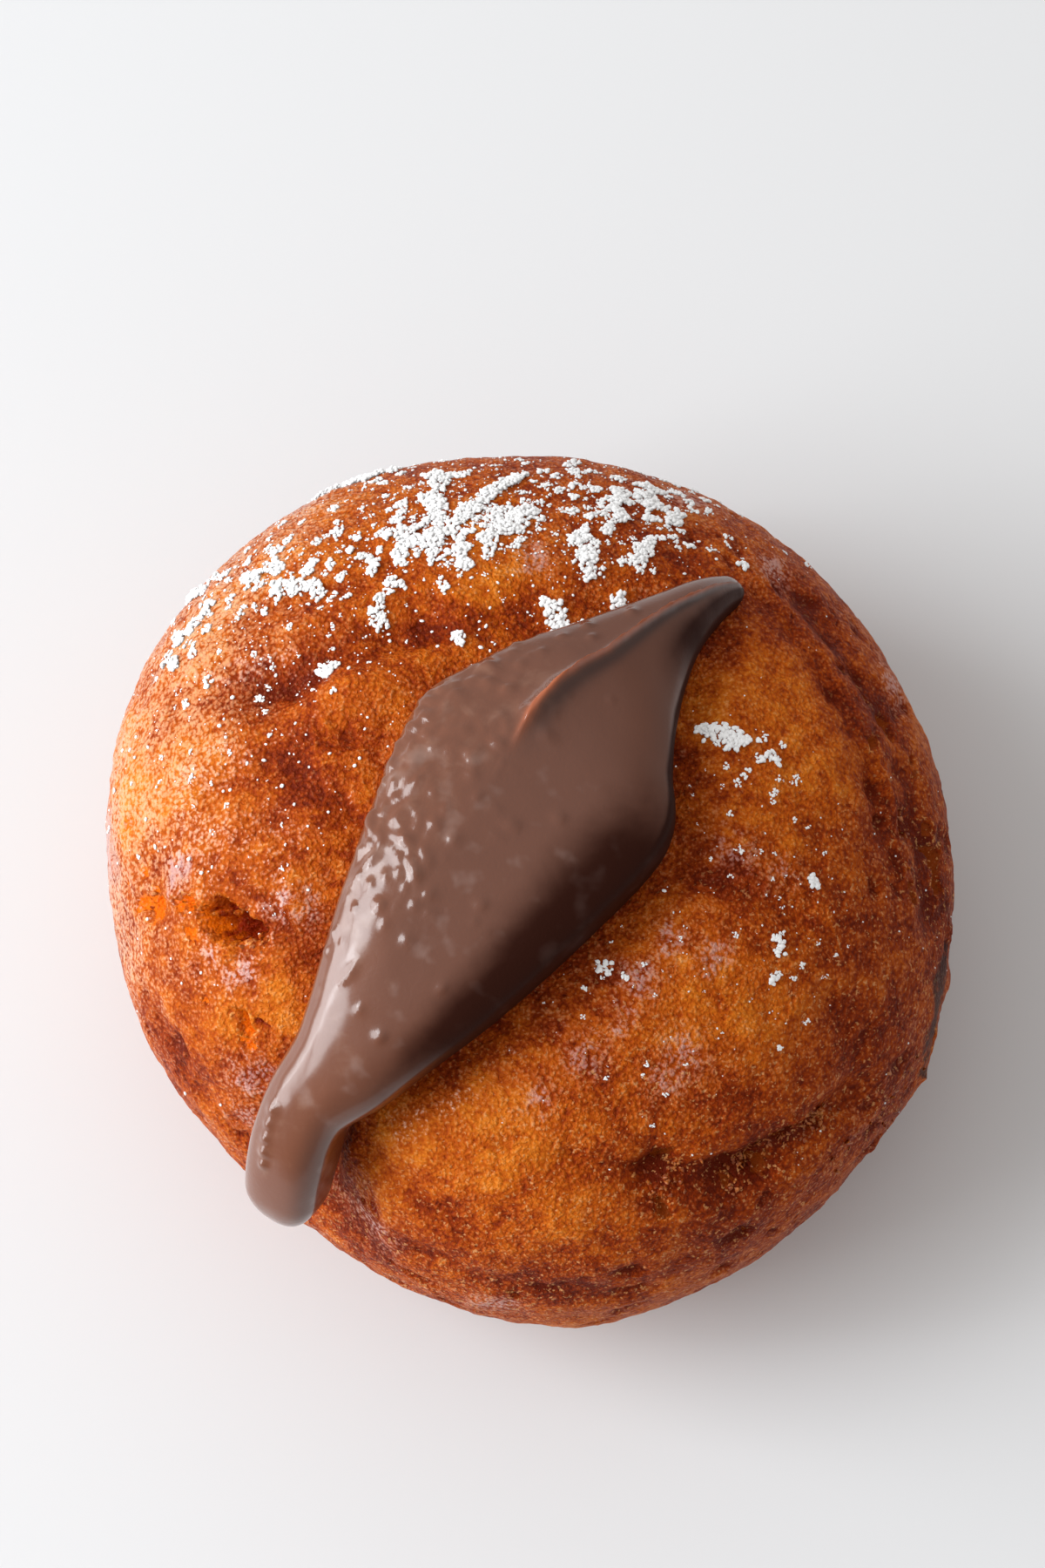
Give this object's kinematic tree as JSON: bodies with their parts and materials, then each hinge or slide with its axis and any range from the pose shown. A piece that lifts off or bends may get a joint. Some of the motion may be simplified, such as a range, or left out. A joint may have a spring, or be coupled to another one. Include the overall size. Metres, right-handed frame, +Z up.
{
  "type": "bombolone",
  "caption": "Round fried doughnut on a small flat foot, slit over the top and filled with chocolate cream that ends in a crest, dusted with icing sugar.",
  "frame": {"origin": "middle of the flat foot the bombolone rests on, at table height", "axes": "+Z up through the crown, +X to the right and +Y away from the viewer, so the cream's lobe is on the -X -Y side and its crest on the +X +Y side"},
  "size_m": [0.0896, 0.0937, 0.0602],
  "materials": {
    "dough": "fried golden-brown crust, mottled and slightly oily, with clumps of icing sugar",
    "cream": "smooth, glossy chocolate cream"
  },
  "bodies": {
    "root": {"dough": "dough", "cream": "cream"}
  },
  "joints": []
}
